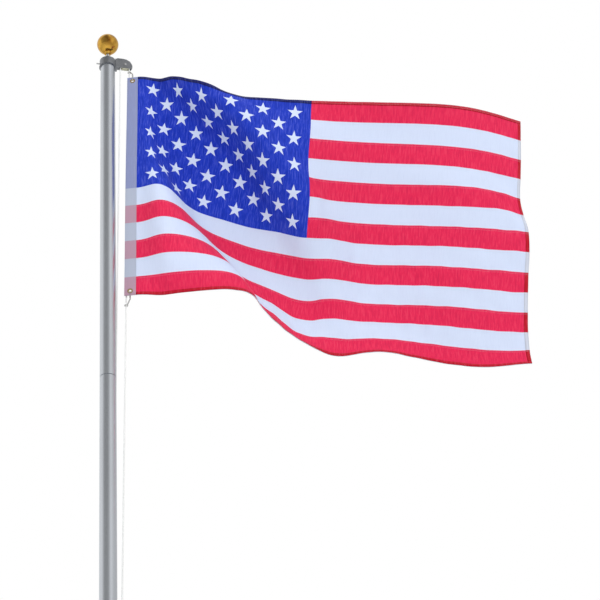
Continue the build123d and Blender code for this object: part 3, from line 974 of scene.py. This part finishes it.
@dataclass
class Halyard:
    """The braided loop of rope over the pulley.

    Attributes:
        radius: Radius of the rope.
        sheave: Centre of the pulley.
        seat: Radius of the rope's line over the pulley.
        step: Distance between the rope's rings.
        sides: Points round the rope.
        lay: Length of one turn of its braid.
        cleat_bearing: Direction of the cleat, from +X towards +Y.
        cleat_height: Height of the cleat's middle.
        lead: Share of each fall, next to the cleat, that bends into the turns.
        arc_points: Points of the line over the pulley.
        strands: Strands of the braid that wind each way.
        groove: Depth between them, as a share of the radius.
        turns: Points of the belay, up, across and out from the pole's axis, in mm.
    """

    radius: float = 0.0025
    sheave: Vector = field(default_factory=lambda: Vector((0.061, 0.0, 6.080)))
    seat: float = 0.016
    step: float = 0.003
    sides: int = 16
    lay: float = 0.016
    cleat_bearing: float = math.radians(100.0)
    cleat_height: float = 1.550
    lead: float = 0.006
    arc_points: int = 18
    strands: int = 4
    groove: float = 0.05
    turns: tuple[Triple, ...] = ()

    @staticmethod
    def even(corners: np.ndarray, step: float) -> np.ndarray:
        """Evenly spaced points along a run of straight lines."""
        run = run_along(corners)
        places = np.linspace(0, run[-1], round(run[-1] / step) + 1)
        return np.stack([np.interp(places, run, corners[:, k]) for k in range(3)], -1)

    @staticmethod
    def smooth(points: np.ndarray, parts: int = 10) -> np.ndarray:
        """A smooth curve through points, with so many steps between each two."""
        padded = np.concatenate([[2 * points[0] - points[1]], points, [2 * points[-1] - points[-2]]])
        last = len(points) - 1
        start, shares = Drape.curve_weights(np.linspace(0, last, last * parts + 1), len(points))
        return sum(shares[:, i, None] * padded[start + i] for i in range(4))

    def line(self) -> np.ndarray:
        """Points along the loop: from its middle turn on the cleat, over the pulley and back to it."""
        out = np.array((math.cos(self.cleat_bearing), math.sin(self.cleat_bearing), 0.0))
        up = np.array((0.0, 0.0, 1.0))
        axes = np.array([up, np.cross(out, up), out])
        belay = np.array(self.turns) / MM_PER_M @ axes + up * self.cleat_height
        pulley = [
            tuple(self.sheave + Vector((math.cos(a), 0, math.sin(a))) * self.seat)
            for a in np.linspace(0, math.pi, self.arc_points)
        ]
        half = len(belay) // 2
        rise, fall = (np.array(top) - end for top, end in ((pulley[0], belay[0]), (pulley[-1], belay[-1])))
        first, last = belay[0] + rise * self.lead, belay[-1] + fall * self.lead
        start = self.even(self.smooth(np.concatenate([belay[half::-1], [first]])), self.step / 2)
        middle = self.even(np.array([first, *pulley, last]), self.step)
        end = self.even(self.smooth(np.concatenate([[last], belay[:half - 1:-1]])), self.step / 2)
        return np.concatenate([start[:-1], middle, end[1:]])

    def build(self) -> None:
        """Build and dress the rope."""
        line = self.line()
        along = np.gradient(line, axis=0)
        along /= np.linalg.norm(along, axis=1, keepdims=True)
        side = np.empty_like(line)
        last = np.cross(along[0], (0.31, 0.83, 0.47))
        for i, way in enumerate(along):
            last = last - way * (last @ way)
            last = side[i] = last / np.linalg.norm(last)
        other = np.cross(along, side)
        place = run_along(line)[:, None]
        angle = np.arange(self.sides)[None] / self.sides * math.tau
        left = np.cos(self.strands * angle + math.tau * place / self.lay)
        right = np.cos(self.strands * angle - math.tau * place / self.lay)
        reach = self.radius * (1 - self.groove + self.groove * np.maximum(left, right))
        ring = (
            line[:, None]
            + (reach * np.cos(angle))[..., None] * side[:, None]
            + (reach * np.sin(angle))[..., None] * other[:, None]
        )
        count = len(line)
        faces = grid_faces(count, self.sides, closed=True)
        faces += [tuple(range(self.sides))[::-1], tuple(range((count - 1) * self.sides, count * self.sides))]
        uv = np.stack(np.broadcast_arrays(angle * self.radius, place), -1).reshape(-1, 2)
        rope = add_mesh("halyard_rope", ring.reshape(-1, 3), faces, uv)
        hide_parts("halyard_bight", "halyard_hoist_fall", "halyard_back_fall")
        dress(rope, RopeFinish().material(), Body.MAST)


@dataclass(frozen=True)
class Viewpoint:
    """Where the photograph was taken from: a camera low in front of the pole, tilted up and rolled.

    Attributes:
        lens: Focal length for a 36 mm sensor, in mm.
        distance: Level distance from the pole's axis, in metres.
        height: Height above the ground.
        bearing: Degrees that the line of sight is turned from +Y towards +X.
        turn: Further degrees that the lens is turned to the right, towards the flag.
        tilt: Degrees that it looks up.
        roll: Degrees that the camera is rolled.
    """

    lens: float = 84.93
    distance: float = 3.7849
    height: float = 2.6138
    bearing: float = 8.0
    turn: float = 9.20
    tilt: float = 32.76
    roll: float = -5.05

    def place(self) -> Vector:
        """Where the camera stands."""
        stand = math.radians(self.bearing)
        return Vector((-math.sin(stand) * self.distance, -math.cos(stand) * self.distance, self.height))

    def build(self) -> None:
        """Add the scene's camera."""
        place = self.place()
        heading, tilt, roll = (math.radians(a) for a in (self.bearing + self.turn, self.tilt, self.roll))
        level = Vector((math.sin(heading), math.cos(heading), 0))
        right = Vector((math.cos(heading), -math.sin(heading), 0))
        sight = level * math.cos(tilt) + Vector((0, 0, math.sin(tilt)))
        up = Vector((0, 0, math.cos(tilt))) - level * math.sin(tilt)
        side = right * math.cos(roll) + up * math.sin(roll)
        top = up * math.cos(roll) - right * math.sin(roll)
        data = bpy.data.cameras.new("camera")
        data.lens, data.sensor_width = self.lens, 36.0
        data.clip_start, data.clip_end = 0.1, 200.0
        camera = bpy.data.objects.new("camera", data)
        turned = Matrix((side, top, -sight)).transposed().to_4x4()
        camera.matrix_world = Matrix.Translation(place) @ turned
        bpy.context.scene.collection.objects.link(camera)
        bpy.context.scene.camera = camera


@dataclass(frozen=True)
class Studio:
    """A pale floor, a white room and soft lamps.

    Attributes:
        floor_size: Side of the floor, in metres.
        floor_colour: Its colour.
        strength: Light of the room.
        walls: Each darker wall's bearing in degrees, its share of light, and the cosines off its
            middle where it starts and where it is darkest.
    """

    floor_size: float = 60.0
    floor_colour: Colour = (0.82, 0.82, 0.82)
    strength: float = 0.95
    walls: tuple[tuple[float, float, float, float], ...] = (
        (-123.0, 0.38, 0.50, 0.97), (12.0, 0.70, 0.30, 0.95),
    )

    def build(self) -> None:
        """Add the floor, the room's light and the lamps."""
        bpy.ops.object.select_all(action="DESELECT")
        bpy.ops.mesh.primitive_plane_add(size=self.floor_size, location=(0, 0, 0))
        floor = bpy.context.active_object
        floor.name = "floor"
        shader = Shader("floor_paper")
        grain = shader.noise(shader.place(), (3.0, 3.0, 3.0))
        colour = shader.mix(shader.spread(grain, 0.0, 0.1), self.floor_colour, (0.75, 0.75, 0.75))
        floor.data.materials.append(shader.finish(shader.principled(colour, 0.9).outputs[0]))
        bpy.context.scene.world = self.room()
        self.lamp("key_lamp", (2.0, -3.4, 12.0), (0.7, 0, 5.6), 6.0, 260.0)
        self.lamp("front_lamp", (-1.2, -6.0, 5.4), (0.7, 0, 5.6), 4.0, 230.0)
        self.lamp("back_lamp", (-4.6, 3.4, 7.5), (0.5, 0, 5.6), 5.0, 110.0)
        bpy.context.scene.view_settings.view_transform = "Standard"

    def room(self) -> bpy.types.World:
        """A white room with darker walls where bare metal mirrors them."""
        shader = Shader("room", world=True)
        ray = shader.node("TexCoord").outputs["Generated"]
        flat = shader.node("VectorMath", operation="MULTIPLY")
        shader.feed(flat.inputs[0], ray)
        flat.inputs[1].default_value = (1.0, 1.0, 0.0)
        level = shader.node("VectorMath", operation="NORMALIZE")
        shader.feed(level.inputs[0], flat.outputs[0])
        light: Source = self.strength
        for bearing, share, edge, core in self.walls:
            dot = shader.node("VectorMath", operation="DOT_PRODUCT")
            shader.feed(dot.inputs[0], level.outputs[0])
            angle = math.radians(bearing)
            dot.inputs[1].default_value = (math.cos(angle), math.sin(angle), 0.0)
            wall = shader.spread(dot.outputs["Value"], 1.0, share, edge, core, "SMOOTHSTEP")
            light = shader.times(light, wall)
        lit, seen = shader.node("Background"), shader.node("Background")
        shader.feed(lit.inputs["Strength"], light)
        for background in (lit, seen):
            background.inputs["Color"].default_value = (1.0, 1.0, 1.0, 1.0)
        return shader.finish(shader.join(shader.node("LightPath").outputs["Is Camera Ray"], lit, seen))

    @staticmethod
    def lamp(name: str, place: Triple, target: Triple, size: float,
             power: float) -> None:
        """Add a square soft lamp that faces a point. Bare metal doesn't show it.

        Args:
            name: Its name.
            place: Where it stands.
            target: What it faces.
            size: Its side.
            power: Its power, in watts.
        """
        data = bpy.data.lights.new(name, "AREA")
        data.size, data.energy = size, power
        lamp = bpy.data.objects.new(name, data)
        lamp.visible_glossy = False
        lamp.location = place
        lamp.rotation_euler = (Vector(target) - Vector(place)).to_track_quat("-Z", "Y").to_euler()
        bpy.context.scene.collection.objects.link(lamp)


POLE_METAL = MetalFinish("satin_tube", (0.60, 0.63, 0.67), (0.24, 0.36), (900.0, 900.0, 6.0), 0.00002,
                         (0.50, 0.52, 0.55), 0.35)
CAST_METAL = MetalFinish("cast_alloy", (0.33, 0.34, 0.36), (0.38, 0.55), (420.0, 420.0, 420.0), 0.00008,
                         (0.17, 0.18, 0.19), 0.6, (30.0, 30.0, 30.0))
GOLD_METAL = MetalFinish("gold_anodised", (0.78, 0.46, 0.08), (0.10, 0.20), (60.0, 60.0, 900.0), 0.000004,
                         (0.26, 0.08, 0.008), 1.0, (30.0, 30.0, 22.0))
BRIGHT_METAL = MetalFinish("zinc_plate", (0.62, 0.63, 0.64), (0.2, 0.35), (800.0, 800.0, 800.0), 0.00001,
                           (0.45, 0.45, 0.44), 0.5)
DARK_METAL = MetalFinish("blackened_steel", (0.09, 0.08, 0.07), (0.3, 0.5), (700.0, 700.0, 700.0), 0.00002,
                         (0.16, 0.10, 0.07), 0.5)
BRASS_METAL = MetalFinish("rolled_brass", (0.76, 0.55, 0.24), (0.2, 0.35), (700.0, 700.0, 700.0), 0.00001,
                          (0.5, 0.34, 0.14), 0.6)
NICKEL_METAL = MetalFinish("nickel_plate", (0.70, 0.70, 0.70), (0.08, 0.2), (600.0, 600.0, 600.0), 0.00001,
                           (0.5, 0.48, 0.44), 0.4)
SHEAVE_NYLON = PlasticFinish("natural_nylon", (0.62, 0.62, 0.48), (0.45, 0.46, 0.38), (0.35, 0.5))
PLUG_PLASTIC = PlasticFinish("black_moulding", (0.02, 0.02, 0.02), (0.07, 0.07, 0.065), (0.4, 0.6))


BELAY = (
    (0, 10.5, 60), (-22, 9.8, 58), (-38, 8.2, 53.8), (-46, 0, 48.6), (-39, -9, 53.2), (-26, -12, 59.5),
    (-8, -7, 66.3), (7, 3, 67.2), (22, 12.8, 66.3), (36, 16.6, 59.3), (46, 12, 52.5), (51, 0, 47.8),
    (46, -11.5, 52.5), (36, -15.8, 59.3), (22, -12, 66.5), (4, -2, 73), (-18, 10, 69), (-38, 15, 60),
    (-52, 9, 51.5), (-57, 0, 49.3), (-52, -10, 52.5), (-41, -16, 57.5), (-26, -17.8, 60.5), (-12, -13.5, 61),
    (0, -10.5, 60),
)


def flag_drape() -> Drape:
    """The cloth's shape in the wind, from where the heading hangs."""
    folds = (
        Fold(-0.170, 0.485, 0.145, -0.305, 0.635, -0.250),
        Fold(-0.070, 0.620, 0.105, 0.100, 0.185, 0.040),
        Fold(0.340, 0.780, -0.035, -0.040, 0.080, 0.225),
        Fold(0.855, 0.765, 0.155, 0.050, 0.300, 0.180),
        Fold(1.015, 1.415, -0.225, -0.145, 0.530, -0.015),
        Fold(0.520, 1.595, 0.020, -0.135, 0.180, 0.505),
        Fold(0.065, 0.805, 0.035, 0.115, 0.135, 0.100),
        Fold(0.350, 0.505, 0.015, 0.015, 0.090, 0.070),
        Fold(0.215, -0.500, 0.005, 0.055, 0.815, 0.600),
    )
    corner = Vector((0.0681863, -0.00592773, 6.01904))
    out = Vector((0.939542, -0.341816, -0.020583))
    down = Vector((-0.0170111, 0.0134431, -0.9997649))
    return Drape(PATTERN, corner, down, out, eye=Viewpoint().place(), folds=folds)


def main() -> None:
    """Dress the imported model, build the soft pieces and set the studio round them."""
    logging.basicConfig(level=logging.INFO)
    Viewpoint().build()
    Studio().build()
    materials = {
        Slot.POLE: POLE_METAL, Slot.CAST: CAST_METAL, Slot.GOLD: GOLD_METAL, Slot.BRIGHT: BRIGHT_METAL,
        Slot.DARK: DARK_METAL, Slot.BRASS: BRASS_METAL, Slot.NICKEL: NICKEL_METAL, Slot.NYLON: SHEAVE_NYLON,
        Slot.PLASTIC: PLUG_PLASTIC, Slot.ROPE: RopeFinish(),
        # The nodes in these two slots are replaced, so this finish never shows.
        Slot.CANVAS: PLUG_PLASTIC, Slot.CLOTH: PLUG_PLASTIC,
    }
    made = {slot: finish.material() for slot, finish in materials.items()}
    for part in frame["record"]["subparts"]:
        shade_cad(part["node"], made[Slot(part["material_slot"])])
    Halyard(turns=BELAY).build()
    drape = flag_drape()
    drape.relax()
    Flag(PATTERN, drape).build()


if __name__ == "__main__":
    main()
